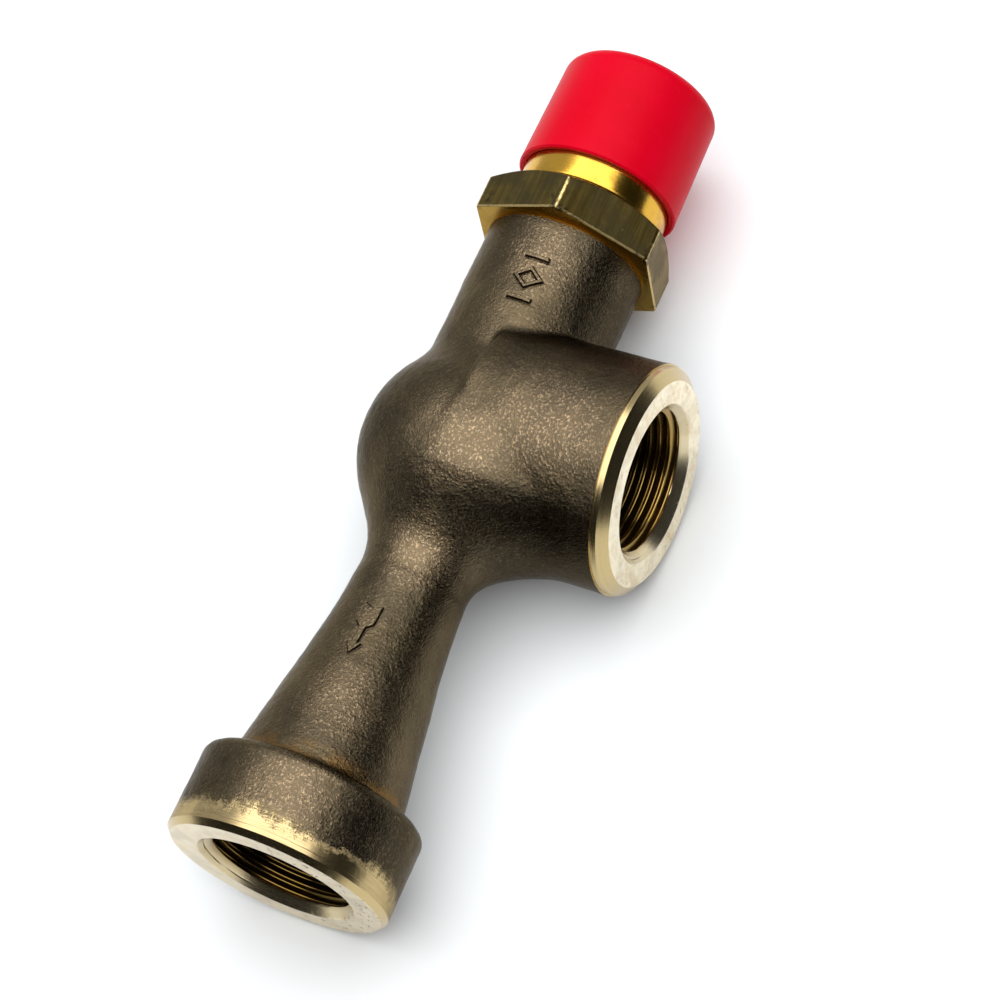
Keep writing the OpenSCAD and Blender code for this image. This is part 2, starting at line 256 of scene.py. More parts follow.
def turned_bronze(name, port):
    """Turned rim, countersink and thread of a port: cream-gold in front with smudges, stains and dark specks.
    The thread is painted a darker gold and the bore deeper in near black, as painted shade, and the outlet's
    face and thread are painted darker than the inlet's, also painted shade."""
    g = Graph(name)
    if port == "inlet":
        radius = g.length(g.math("SUBTRACT", g.x, BOSS_X), g.z)
        depth = g.add(g.y, BOSS_FACE)
    else:
        radius = g.length(g.y, g.z)
        depth = g.x
    rings = g.noise(1.0, 3.0, 0.6, g.join(g.times(radius, 5.0), g.times(depth, 5.0)))
    smudge = g.step(g.noise(0.22, 3.0, 0.6), 0.42, 0.66)
    # Both ports are one turned metal; the outlet's face is painted darker than the inlet's, as painted shade.
    if port == "inlet":
        fresh_and_lit = g.mix(rings, (0.84, 0.73, 0.52), (0.93, 0.85, 0.66))
    else:
        fresh_and_lit = g.mix(rings, (0.62, 0.52, 0.34), (0.74, 0.64, 0.45))
    fresh_and_lit = g.mix(g.times(smudge, 0.45 if port == "inlet" else 0.8), fresh_and_lit, (0.50, 0.41, 0.26))
    stain = g.step(g.noise(0.45, 4.0, 0.7, g.stretch(g.place, 1.0, 0.8, 0.5)), 0.50, 0.64)
    fresh_and_lit = g.mix(g.times(stain, 0.5), fresh_and_lit, (0.62, 0.45, 0.24))
    flat_r = INLET_FLAT_R if port == "inlet" else OUTLET_FLAT_R
    bevel = g.step(radius, flat_r + 0.02, flat_r + 0.1)
    sink = g.times(g.step(depth, 0.05, 0.3), g.step(radius, 14.0, 13.8))
    fresh_and_lit = g.mix(bevel, fresh_and_lit, g.mix(rings, (0.42, 0.31, 0.13), (0.62, 0.49, 0.26)))
    fresh_and_lit = g.mix(g.times(sink, 0.6), fresh_and_lit, (0.50, 0.40, 0.22))
    # Painted shade inside the port: the thread is a darker gold, darker still in the outlet, and the bore is
    # near black deeper in.
    inside = g.times(g.step(radius, 14.4, 13.6), g.step(depth, 0.8, 2.4))
    deep_shade = g.step(depth, 2.0, PORT_DEPTH - 4)
    if port == "inlet":
        shaded_thread = g.mix(rings, (0.30, 0.19, 0.045), (0.46, 0.31, 0.10))
    else:
        shaded_thread = g.mix(rings, (0.15, 0.095, 0.022), (0.26, 0.17, 0.05))
    shaded_thread = g.mix(deep_shade, shaded_thread, (0.02, 0.013, 0.006))
    color = g.mix(inside, fresh_and_lit, shaded_thread)
    specks = g.noise(0.85, 4.0, 0.68)
    side = g.step(g.y, 4.0, -12.0) if port == "outlet" else 0.25
    on_face = g.times(g.step(radius, 13.0, 14.2), g.step(radius, flat_r + 0.3, flat_r - 0.2))
    specks = g.times(g.times(g.step(specks, 0.58, 0.65), side), on_face)
    color = g.mix(g.times(specks, 0.9), color, (0.025, 0.027, 0.03))
    g.bump(rings, 0.014)
    rough = g.add(g.blend(specks, 0.18, 0.5), g.times(rings, 0.12))
    return g.use(Base_Color=color, Metallic=g.blend(specks, 1.0, 0.3), Roughness=rough)


def hex_brass():
    """Milled hexagon: tarnished olive brass with streaks along the axis, bright edges that are worn and also
    painted highlight, and scratches.
    """
    g = Graph("hex_brass")
    r = g.length(g.y, g.z)
    streaks = g.noise(1.0, 4.0, 0.62, g.stretch(g.place, 0.05, 1.1, 1.1))
    fine = g.noise(1.0, 2.0, 0.6, g.stretch(g.place, 0.12, 5.0, 5.0))
    tarnish = g.step(g.noise(0.16, 4.0, 0.65), 0.42, 0.60)
    color = g.mix(g.step(streaks, 0.32, 0.70), (0.100, 0.070, 0.017), (0.185, 0.135, 0.040))
    color = g.mix(g.times(tarnish, 0.7), color, (0.062, 0.050, 0.024))
    # Bright lower edge and corners: wear, and also painted highlight along the edges.
    breaks = g.times(g.noise(1.5, 3.0, 0.7), 0.4)
    lower = g.step(g.math("SUBTRACT", g.x, breaks), HEX_X0 + 0.3, HEX_X0 + 0.08)
    corner = g.step(g.math("SUBTRACT", r, breaks), 17.9, 18.08)
    worn = g.math("MAXIMUM", g.times(lower, g.step(r, 15.0, 15.6)), corner)
    color = g.mix(g.times(worn, 0.85), color, (0.66, 0.50, 0.22))
    end_face = g.step(g.x, HEX_X0 + 0.06, HEX_X0 + 0.01)
    color = g.mix(end_face, color, (0.33, 0.195, 0.022))
    near_corner = g.times(g.step(g.x, HEX_X0 + 5.0, HEX_X0 + 1.0), g.step(r, 16.4, 17.6))
    stain = g.times(g.step(g.noise(0.5, 3.0, 0.65), 0.5, 0.62), near_corner)
    color = g.mix(g.times(stain, 0.8), color, (0.030, 0.026, 0.016))
    cells = {"Vector": g.stretch(g.place, 0.5, 1.0, 1.0), "Scale": 0.42}
    nick = g.node("ShaderNodeTexVoronoi", cells, "Distance")
    nick = g.times(g.step(nick, 0.075, 0.05), g.step(fine, 0.45, 0.6))
    color = g.mix(nick, color, (0.55, 0.45, 0.22))
    relief = g.add(g.times(streaks, 0.5), g.times(fine, 0.5))
    g.bump(relief, 0.035)
    rough = g.add(g.blend(worn, 0.3, 0.22), g.times(tarnish, 0.1))
    return g.use(Base_Color=color, Metallic=1.0, Roughness=rough, Specular_Tint=(0.90, 0.84, 0.74))


def barrel_brass():
    """Polished yellow barrel with fine turning lines, a little tarnish, and painted shade next to the hexagon
    and under the cap's lip.
    """
    g = Graph("barrel_brass")
    r = g.length(g.y, g.z)
    lines = g.noise(1.0, 3.0, 0.6, g.join(g.times(g.x, 6.0), g.times(r, 4.0)))
    tarnish = g.step(g.noise(0.28, 4.0, 0.6), 0.45, 0.72)
    color = g.mix(lines, (0.62, 0.34, 0.036), (0.78, 0.46, 0.075))
    # Painted shade: the barrel is darker next to the hexagon and under the cap's lip, joined to the tarnish
    # below.
    shade_by_hexagon = g.step(g.x, HEX_X1 + 2.0, HEX_X1 + 0.8)
    shade_by_cap = g.step(g.x, CAP_LOW[0] - 0.6, CAP_LOW[0])
    tarnish = g.math("MAXIMUM", tarnish, g.times(g.math("MAXIMUM", shade_by_hexagon, shade_by_cap), 0.8))
    color = g.mix(g.times(tarnish, 0.5), color, (0.34, 0.19, 0.025))
    g.bump(lines, 0.012)
    return g.use(Base_Color=color, Metallic=1.0, Roughness=g.add(0.19, g.times(tarnish, 0.12)))


def machined_brass():
    """Turned inner brass."""
    g = Graph("machined_brass")
    r = g.length(g.y, g.z)
    lines = g.noise(1.0, 3.0, 0.6, g.join(g.times(g.x, 4.0), g.times(r, 4.0)))
    color = g.mix(lines, (0.62, 0.46, 0.18), (0.80, 0.62, 0.30))
    color = g.mix(g.times(g.step(g.noise(0.3, 3.0), 0.45, 0.7), 0.4), color, (0.45, 0.32, 0.13))
    g.bump(lines, 0.02)
    return g.use(Base_Color=color, Metallic=1.0, Roughness=g.add(0.2, g.times(lines, 0.15)))


def cap_plastic():
    """Soft red push-on plastic with a faint moulded grain, scuffs and dust."""
    g = Graph("cap_plastic")
    cloud = g.noise(0.12, 3.0, 0.5)
    color = g.mix(cloud, (0.60, 0.0008, 0.010), (0.70, 0.0015, 0.020))
    end = g.step(g.x, CAP_HIGH[0] - 7, CAP_HIGH[0] - 1)
    scuffs = g.noise(1.0, 4.0, 0.7, g.stretch(g.place, 1.0, 1.7, 0.8))
    scuffs = g.times(g.step(scuffs, 0.62, 0.72), g.add(0.12, g.times(end, 0.6)))
    color = g.mix(g.times(scuffs, 0.5), color, (0.72, 0.10, 0.09))
    hairs = g.noise(1.0, 3.0, 0.6, g.stretch(g.place, 3.2, 0.35, 0.35))
    hairs = g.times(g.step(hairs, 0.66, 0.72), 0.35)
    color = g.mix(hairs, color, (0.70, 0.035, 0.04))
    g.bump(g.add(g.times(g.noise(0.9, 3.0, 0.6), 0.6), g.times(scuffs, 0.4)), 0.03)
    rough = g.add(0.34, g.times(g.add(scuffs, g.times(cloud, 0.12)), 0.5))
    return g.use(Base_Color=color, Metallic=0.0, Roughness=rough, Specular_IOR_Level=0.045)


def steel(name, tone, lines_along):
    """Plain turned or drawn steel. lines_along is how fast its fine lines change along the axis."""
    g = Graph(name)
    r = g.length(g.y, g.z)
    lines = g.noise(1.0, 3.0, 0.6, g.join(g.times(g.x, lines_along), g.times(r, 5.0)))
    haze = g.step(g.noise(0.5, 3.0, 0.6), 0.4, 0.7)
    color = g.mix(lines, tuple(0.82 * t for t in tone), tone)
    color = g.mix(g.times(haze, 0.3), color, tuple(0.7 * t for t in tone))
    g.bump(lines, 0.02)
    return g.use(Base_Color=color, Metallic=1.0, Roughness=g.add(0.2, g.times(haze, 0.15)))


def seal_rubber():
    """Satin black rubber with a little bloom."""
    g = Graph("seal_rubber")
    bloom = g.step(g.noise(1.4, 4.0, 0.6), 0.45, 0.75)
    color = g.mix(bloom, (0.018, 0.018, 0.019), (0.05, 0.05, 0.052))
    g.bump(g.noise(6.0, 2.0), 0.015)
    return g.use(Base_Color=color, Metallic=0.0, Roughness=g.add(0.42, g.times(bloom, 0.2)))


CAST = cast_bronze("cast_bronze")
CAST_MARK = cast_bronze("cast_mark", raised=True)
CAST_CREASE = cast_bronze("cast_crease", crease=True)
TURNED_OUTLET = turned_bronze("turned_outlet", "outlet")
TURNED_INLET = turned_bronze("turned_inlet", "inlet")
HEX_BRASS = hex_brass()
BARREL_BRASS = barrel_brass()
MACHINED_BRASS = machined_brass()
CAP_PLASTIC = cap_plastic()
PLAIN_STEEL = steel("plain_steel", (0.62, 0.61, 0.58), 5.0)
SPRING_STEEL = steel("spring_steel", (0.42, 0.41, 0.39), 2.0)
SEAL_RUBBER = seal_rubber()


# ---------------------------------------------------------------- mesh tools

def new_object(name, points, faces, material):
    """Smooth mesh object from points in millimetres."""
    mesh = bpy.data.meshes.new(name)
    mesh.from_pydata((np.asarray(points, float) * MM).tolist(), [], [list(map(int, f)) for f in faces])
    mesh.validate()
    mesh.update()
    mesh.shade_smooth()
    mesh.materials.append(material)
    made = bpy.data.objects.new(name, mesh)
    bpy.context.scene.collection.objects.link(made)
    return made


def fix_normals(target):
    """Turns every face outwards."""
    mesh = bmesh.new()
    mesh.from_mesh(target.data)
    bmesh.ops.recalc_face_normals(mesh, faces=mesh.faces)
    mesh.to_mesh(target.data)
    mesh.free()
    return target


def combine(target, tool, operation):
    """Boolean of two closed meshes. The tool is used up, and its material marks the faces that it makes."""
    change = target.modifiers.new("combine", "BOOLEAN")
    change.solver = "MANIFOLD"
    change.material_mode = "TRANSFER"
    change.operation = operation
    change.object = tool
    bpy.context.view_layer.update()
    graph = bpy.context.evaluated_depsgraph_get()
    mesh = bpy.data.meshes.new_from_object(target.evaluated_get(graph))
    target.modifiers.clear()
    target.data = mesh
    bpy.data.objects.remove(tool)
    return target


def cut(target, tool):
    """Cuts the tool's shape out of the target."""
    return combine(target, fix_normals(tool), "DIFFERENCE")


def weld(target, tool):
    """Joins a solid that overlaps the target."""
    return combine(target, fix_normals(tool), "UNION")


def sharpen(target, angle=32):
    """Smooth shading, with sharp edges where faces meet at more than the angle, in degrees."""
    target.data.shade_smooth()
    target.data.set_sharp_from_angle(angle=math.radians(angle))
    return target


def plain(x, r, a):
    """Radius of a solid that is round all the way."""
    return r


def polar_solid(name, rows, material, around=192, radius=plain):
    """Closed solid round the x axis. rows are (x, r) pairs from one end to the other, and radius(x, r, angle)
    gives the finished radius."""
    rows = np.asarray(rows, float)
    angle = np.arange(around) * 2 * np.pi / around
    x, a = np.meshgrid(rows[:, 0], angle, indexing="ij")
    r = radius(x, np.repeat(rows[:, 1][:, None], around, 1), a)
    points = np.stack([x, r * np.cos(a), r * np.sin(a)], -1).reshape(-1, 3)
    n = len(rows)
    i, k = np.meshgrid(np.arange(n - 1), np.arange(around), indexing="ij")
    k1 = (k + 1) % around
    quads = np.stack([i * around + k, i * around + k1, (i + 1) * around + k1, (i + 1) * around + k], -1)
    faces = quads.reshape(-1, 4).tolist()
    first = len(points)
    points = np.concatenate([points, [[rows[0, 0], 0, 0], [rows[-1, 0], 0, 0]]])
    for k in range(around):
        k1 = (k + 1) % around
        faces.append([first, k1, k])
        faces.append([first + 1, (n - 1) * around + k, (n - 1) * around + k1])
    return new_object(name, points, faces, material)


def ring_solid(name, outline, material, around=192):
    """Closed ring turned round the x axis from a closed outline of (x, r) pairs off the axis."""
    n = len(outline)
    angles = np.arange(around) * 2 * np.pi / around
    points = [[x, r * math.cos(a), r * math.sin(a)] for a in angles for x, r in outline]
    faces = [
        [k * n + i, ((k + 1) % around) * n + i, ((k + 1) % around) * n + (i + 1) % n, k * n + (i + 1) % n]
        for k in range(around) for i in range(n)
    ]
    return fix_normals(new_object(name, points, faces, material))


def to_inlet(target):
    """Moves a shape made along +x from x = 0 so that it runs from the inlet's face towards +y."""
    turn = Matrix(((0, -1, 0, BOSS_X * MM), (1, 0, 0, -BOSS_FACE * MM), (0, 0, 1, 0), (0, 0, 0, 1)))
    target.data.transform(turn)
    return target


def rounded(corners, radius, steps=4):
    """Open path of (x, r) corners with each inner corner rounded by that radius."""
    corners = [np.array(c, float) for c in corners]
    path = [corners[0]]
    for before, corner, after in zip(corners, corners[1:], corners[2:]):
        a, b = before - corner, after - corner
        la, lb = np.linalg.norm(a), np.linalg.norm(b)
        trim = min(radius, la / 2, lb / 2)
        p, q = corner + a / la * trim, corner + b / lb * trim
        for t in np.linspace(0, 1, steps + 1):
            path.append((1 - t) ** 2 * p + 2 * t * (1 - t) * corner + t * t * q)
    path.append(corners[-1])
    return path


def dense(path, step):
    """The same path with points no further apart than step."""
    made = [np.array(path[0], float)]
    for a, b in zip(path, path[1:]):
        a, b = np.array(a, float), np.array(b, float)
        n = max(1, math.ceil(np.linalg.norm(b - a) / step))
        made += [a + (b - a) * i / n for i in range(1, n + 1)]
    return made


# ---------------------------------------------------------------- cast skin as a distance field

def smooth_union(a, b, k):
    """Union of two distance fields, with a fillet where they are within k of each other."""
    h = np.maximum(k - np.abs(a - b), 0) / k
    return np.minimum(a, b) - h * h * k / 4


def rounded_rod(along, r, start, end, radius, edge):
    """Distance to a rod with rounded edges."""
    dx = np.abs(along - (start + end) / 2) - (end - start) / 2 + edge
    dr = r - radius + edge
    return np.minimum(np.maximum(dx, dr), 0) + np.hypot(np.maximum(dx, 0), np.maximum(dr, 0)) - edge


def cone_rod(x, r, x0, x1, r0, r1):
    """Distance to a rod whose radius goes from r0 at x0 to r1 at x1."""
    slope = (r1 - r0) / (x1 - x0)
    side = (r - (r0 + slope * (x - x0))) / math.hypot(1, slope)
    return np.maximum(side, np.maximum(x0 - x, x - x1))


def cast_skin(p):
    """Distance to the casting's outside, in millimetres."""
    x, y, z = p[:, 0], p[:, 1], p[:, 2]
    r = np.hypot(y, z)
    collar = rounded_rod(x, r, -3, COLLAR_LEN, COLLAR_R, 2.0)
    cone = cone_rod(x, r, COLLAR_LEN - 3, WAIST_X + 3, CONE_ROOT_R + 0.6, WAIST_R - 0.55)
    waist = np.maximum(r - WAIST_R, np.maximum(WAIST_X - 10 - x, x - 70))
    tail = smooth_union(collar, smooth_union(cone, waist, 1.5), 1.6)
    bulb = np.sqrt((x - BULB_X) ** 2 + r * r) - BULB_R
    neck = np.maximum(r - NECK_R, np.maximum(BULB_X - x, x - NECK_END))
    spine = smooth_union(smooth_union(tail, bulb, 7.0), neck, 2.5)
    across = np.hypot(x - BOSS_X, z)
    depth = -y
    boss_r = BOSS_R - 0.3 * np.clip((BOSS_FACE - 4 - depth) / 25, 0, 1)
    boss = rounded_rod(depth, across - boss_r, 1.0, BOSS_FACE + 3, 0, 1.5)
    blend = 0.9 + 7.0 * np.clip((BOSS_X - x) / 14, 0, 1) ** 1.5
    return smooth_union(spine, boss, blend)


def gradient(field, p, h=0.02):
    """Unit vectors along which the field grows fastest."""
    steps = np.eye(3) * h
    g = np.stack([field(p + s) - field(p - s) for s in steps], -1)
    return g / np.maximum(np.linalg.norm(g, axis=1, keepdims=True), 1e-9)


def surface_net(field, low, high, step):
    """Closed quad mesh of the field's zero surface."""
    axes = [np.arange(a, b + step, step) for a, b in zip(low, high)]
    grid = np.stack(np.meshgrid(*axes, indexing="ij"), -1)
    value = np.concatenate([field(s.reshape(-1, 3)) for s in grid]).reshape(grid.shape[:3])
    cells = np.array(value.shape) - 1
    total, count = np.zeros((*cells, 3)), np.zeros(cells)
    inside = value < 0
    crossings = []
    for axis in range(3):
        v = np.moveaxis(value, axis, 0)
        p = np.moveaxis(grid, axis, 0)
        s = np.moveaxis(inside, axis, 0)
        cross = s[:-1] != s[1:]
        t = np.where(cross, v[:-1] / np.where(cross, v[:-1] - v[1:], 1), 0)
        at = (p[:-1] + (p[1:] - p[:-1]) * t[..., None]) * cross[..., None]
        crossings.append((cross, s[:-1]))
        moved_total, moved_count = np.moveaxis(total, axis, 0), np.moveaxis(count, axis, 0)
        b, c = moved_count.shape[1:]
        for j in (0, 1):
            for k in (0, 1):
                moved_total += at[:, j:j + b, k:k + c]
                moved_count += cross[:, j:j + b, k:k + c]
    used = count > 0
    number = np.full(cells, -1)
    number[used] = np.arange(used.sum())
    points = total[used] / count[used][:, None]
    faces = []
    for axis, (cross, start_inside) in enumerate(crossings):
        index = np.moveaxis(number, axis, 0)
        i, j, k = np.nonzero(cross[:, 1:-1, 1:-1])
        ring = np.stack([index[i, j, k], index[i, j + 1, k], index[i, j + 1, k + 1], index[i, j, k + 1]], -1)
        flip = start_inside[:, 1:-1, 1:-1][i, j, k] ^ (axis == 1)
        ring[~flip] = ring[~flip][:, ::-1]
        faces.append(ring)
    return points, np.concatenate(faces)


def cast_noise(p):
    """Waviness of a sand casting, in millimetres."""
    made = np.empty(len(p))
    for i, q in enumerate(p):
        v = Vector(q)
        made[i] = 0.09 * noise.noise(v * 0.16) + 0.05 * noise.noise(v * 0.5) + 0.04 * noise.noise(v * 1.1)
    return made


def polygon_distance(u, v, corners):
    """Signed distance to a closed outline, below zero inside."""
    best = np.full(len(u), np.inf)
    inside = np.zeros(len(u), bool)
    for (u0, v0), (u1, v1) in zip(corners, corners[1:] + corners[:1]):
        du, dv = u1 - u0, v1 - v0
        t = np.clip(((u - u0) * du + (v - v0) * dv) / (du * du + dv * dv), 0, 1)
        best = np.minimum(best, np.hypot(u - u0 - t * du, v - v0 - t * dv))
        crosses = (v0 > v) != (v1 > v)
        with np.errstate(divide="ignore", invalid="ignore"):
            at = u0 + (v - v0) * du / dv
        inside ^= crosses & (u < at)
    return np.where(inside, -best, best)


def arrow_distance(u, v):
    """The flow arrow on the cone: notched tail, shaft and head, pointing to the outlet."""
    half = [(46.1, 1.6), (42.5, 1.6), (41.5, 0.55), (38.6, 0.5), (38.5, 1.25), (36.3, 0.0)]
    other = [(x, -y) for x, y in reversed(half[:-1])]
    return polygon_distance(u, v, half + other + [(45.4, 0.0)])


def mark_distance(u, v):
    """A plain lozenge between two bars on the neck, in place of the size number."""
    lozenge = np.abs(np.abs(u - 108.5) * 0.79 + np.abs(v + 1.5) * 0.62 - 1.35) - 0.33
    bars = np.minimum(np.abs(u - 112.6), np.abs(u - 104.4)) - 0.36
    return np.minimum(lozenge, np.maximum(bars, np.abs(v + 1.5) - 2.1))


# Each mark's outline, the area that it lies in, its height, and the depth of the groove round it.
MARKS = [
    {"distance": arrow_distance, "x": (35, 47.5), "y": (-3.0, 3.0), "height": 0.38, "groove": 0.06},
    {"distance": mark_distance, "x": (103.0, 114.0), "y": (-5.0, 2.0), "height": 0.4, "groove": 0.08},
]
CREASE_WIDTH = 0.24    # dark line round a mark


def raise_marks(target, cuts=4, edge=0.25):
    """Splits the faces under each raised mark finely and lifts the mark out of the skin, with a flank of width
    edge. The mark's top gets material 1 and the crease round it gets material 2."""
    mesh = bmesh.new()
    mesh.from_mesh(target.data)
    for mark in MARKS:
        chosen = set()
        for face in mesh.faces:
            c = face.calc_center_median() / MM
            if mark["x"][0] < c.x < mark["x"][1] and mark["y"][0] < c.y < mark["y"][1] and c.z > 0:
                chosen.update(face.edges)
        bmesh.ops.subdivide_edges(mesh, edges=list(chosen), cuts=cuts, use_grid_fill=True)
    mesh.verts.ensure_lookup_table()
    points = np.array([v.co for v in mesh.verts]) / MM
    upward = gradient(cast_skin, points)
    part = np.zeros(len(points), int)
    for mark in MARKS:
        u, v = points[:, 0], points[:, 1]
        near = (u > mark["x"][0]) & (u < mark["x"][1]) & (np.abs(v) < 5) & (points[:, 2] > 0)
        distance = mark["distance"](u[near], v[near])
        t = np.clip(0.5 - distance / edge, 0, 1)
        height = mark["height"] * t * t * (3 - 2 * t)
        height -= mark["groove"] * np.exp(-((distance - 0.2) / 0.14) ** 2)
        points[near] += upward[near] * height[:, None]
        part[near] = np.select([distance < 0, distance < CREASE_WIDTH], [1, 2], 0)
    for v, p in zip(mesh.verts, points):
        v.co = p * MM
    for face in mesh.faces:
        parts = [part[v.index] for v in face.verts]
        if min(parts) > 0:
            face.material_index = max(parts)
    target.data.materials.append(CAST_MARK)
    target.data.materials.append(CAST_CREASE)
    mesh.to_mesh(target.data)
    mesh.free()
    return target


def make_cast_skin():
    """The casting before it is machined. It stays calm where turned faces will meet it."""
    low = BODY_LOW + [-5, -5, -3]
    high = BODY_HIGH + [3, 3, 3]
    points, faces = surface_net(cast_skin, low, high, SKIN_STEP)
    for _ in range(4):
        points -= gradient(cast_skin, points) * cast_skin(points)[:, None]
    calm = np.clip((points[:, 0] - 1) / 4, 0, 1) * np.clip((points[:, 1] + BOSS_FACE - STRIP_END) / 3, 0, 1)
    calm *= np.clip((NECK_END - 0.5 - points[:, 0]) / 2, 0, 1)
    points += gradient(cast_skin, points) * ((cast_noise(points) - 0.06) * calm)[:, None]
    return raise_marks(fix_normals(new_object("valve_casting", points, faces, CAST)))


# ---------------------------------------------------------------- turned and threaded tools

def thread_radius(depth, angle):
    """Radius of a female pipe thread at a depth from the face: grooves cut outwards from the bore."""
    turn = (depth / PITCH - angle / (2 * np.pi)) % 1
    groove = np.clip((0.5 - np.abs(turn - 0.5)) * 2.5 - 0.12, 0, 1)
    height = 1.25 * np.clip((THREAD_LEN + 0.5 - depth) / 3, 0, 1)
    return THREAD_R + height * groove


def merged(points, faces, material):
    """Object whose coinciding points are merged and whose empty faces are gone."""
    near = np.round(np.asarray(points), 5)
    kept, index = np.unique(near, axis=0, return_inverse=True)
    index = index.ravel()
    clean = []
    for face in faces:
        corners = [int(index[c]) for c in face]
        corners = [c for i, c in enumerate(corners) if c != corners[i - 1]]
        if len(set(corners)) > 2:
            clean.append(corners)
    return new_object("tap", kept, clean, material)


def port_tool(material, per_turn=16, around=240):
    """Everything bored away at a port: the countersink and the tapped bore. The mesh rows follow the thread's
    helix, so row i at the end of a turn meets row i + per_turn at its start."""
    rows = math.ceil(PORT_DEPTH / PITCH * per_turn) + per_turn + 1
    a = np.arange(around) * 2 * np.pi / around
    along = -PITCH + np.arange(rows)[:, None] * PITCH / per_turn + PITCH * a / (2 * np.pi)
    x = np.clip(along, 0, PORT_DEPTH)
    r = np.maximum(SINK_R - x, thread_radius(x, a))
    x = np.vstack([np.full(around, -2.0), x])
    r = np.vstack([np.full(around, SINK_R + 2.0), r])
    points = np.stack([x, r * np.cos(a), r * np.sin(a)], -1).reshape(-1, 3)
    faces = [[k, (k + 1) % around, around + (k + 1) % around, around + k] for k in range(around)]
    for i in range(1, rows):
        for k in range(around):
            next_k = (k + 1) % around
            low = min(i + (0 if next_k else per_turn), rows)
            high = min(low + 1, rows)
            beside = [low * around + next_k, high * around + next_k]
            faces.append([i * around + k, *beside, (i + 1) * around + k])
    first = len(points)
    points = np.concatenate([points, [[-2, 0, 0], [PORT_DEPTH, 0, 0]]])
    for k in range(around):
        faces.append([first, (k + 1) % around, k])
        faces.append([first + 1, rows * around + k, rows * around + (k + 1) % around])
    return merged(points, faces, material)


def facing_tool(material, flat_r, *path):
    """Ring turned away at a port's rim: the flat face, then the chamfer and strip given as (x, r) points."""
    far = 26.0
    rows = [(-6, 0.5), (-6, far), (path[-1][0], far), *reversed(path), (0, flat_r), (0, 0.5)]
    return polar_solid("face", rows, material, 240)


def neck_tool(material):
    """Thin chamfer turned on the neck's end."""
    outline = [(NECK_END - 0.9, NECK_R + 0.3), (NECK_END + 0.6, NECK_R - 1.0), (NECK_END + 0.6, NECK_R + 3),
               (NECK_END - 0.9, NECK_R + 3)]
    return ring_solid("neck", outline, material)


def bore_tool(path, material):
    """Round hole along the x axis, from (x, r) pairs."""
    return polar_solid("bore", path, material, 128)


# The passage behind each thread, from the thread's end inwards. The outlet's goes on through the seat's bore
# and the chambers of the piston and the guide sleeve to the neck's end.
OUTLET_PASSAGE = [
    (PORT_DEPTH - 0.5, THREAD_R - 1.4), (52, SEAT_BORE_R), (60, SEAT_BORE_R), (60.01, 9), (67, 9),
    (67.01, 12.4), (91, 12.4), (91.01, 10.9), (103, 10.9), (103.01, 11.4), (NECK_END - 1.2, 11.4),
    (NECK_END - 1.19, 12.6), (NECK_END + 2, 12.6),
]
INLET_PASSAGE = [(PORT_DEPTH - 0.5, 8), (BOSS_FACE - 4, 8)]


def make_body():
    """The machined casting."""
    body = make_cast_skin()
    cut(body, facing_tool(TURNED_OUTLET, OUTLET_FLAT_R, (1.3, 19.75), (1.9, COLLAR_R - 0.02)))
    cut(body, to_inlet(facing_tool(TURNED_INLET, INLET_FLAT_R, (1.55, 19.6), (STRIP_END, 19.68))))
    cut(body, port_tool(TURNED_OUTLET))
    cut(body, to_inlet(port_tool(TURNED_INLET)))
    cut(body, neck_tool(MACHINED_BRASS))
    cut(body, bore_tool(OUTLET_PASSAGE, TURNED_OUTLET))
    cut(body, to_inlet(bore_tool(INLET_PASSAGE, TURNED_INLET)))
    return sharpen(body)


body = make_body()
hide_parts("valve_body")
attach(body, "housing")


# ---------------------------------------------------------------- bonnet

def hex_radius(angle, flats, turn, edge=0.35):
    """Radius of a hexagon with slightly rounded corners."""
    a = (angle - turn) % (np.pi / 3) - np.pi / 6
    near = flats / 2 / np.cos(a)
    other = flats / 2 / np.cos(np.pi / 3 - np.abs(a))
    h = np.maximum(edge - np.abs(near - other), 0) / edge
    return np.minimum(near, other) - h * h * edge / 4


def hex_solid(name, x0, x1, flats, turn, face_r, material, both=False):
    """Hexagon with its corners chamfered at its far end, or at both. The near edge is a little worn."""
    slope = math.tan(math.radians(30))
    worn, edge, outer = 0.25, 0.15, 40.0
    cone_x = (flats / 2 / math.cos(math.pi / 6) - face_r) * slope
    rows = [(x0, face_r - 3), (x0, face_r - 0.5)]
    rows += [(x, outer) for x in np.linspace(x0, x0 + (cone_x if both else worn), 20 if both else 4)]
    rows += [(x, outer) for x in np.linspace(rows[-1][0], x1 - cone_x, 5)[1:]]
    rows += [(x, outer) for x in np.linspace(x1 - cone_x, x1, 20)[1:]]
    rows += [(x1, face_r - 1)]

    def radius(x, r, a):
        hexagon = hex_radius(a, flats, turn)
        near = hexagon - np.clip(worn - (x - x0), 0, None) * 0.6
        if both:
            near = np.minimum(hexagon, face_r + (x - x0) / slope)
        cone = face_r + (x1 - x) / slope
        h = np.maximum(edge - np.abs(near - cone), 0) / edge
        return np.where(r < outer, r, np.minimum(near, cone) - h * h * edge / 4)

    return polar_solid(name, rows, material, 480, radius)


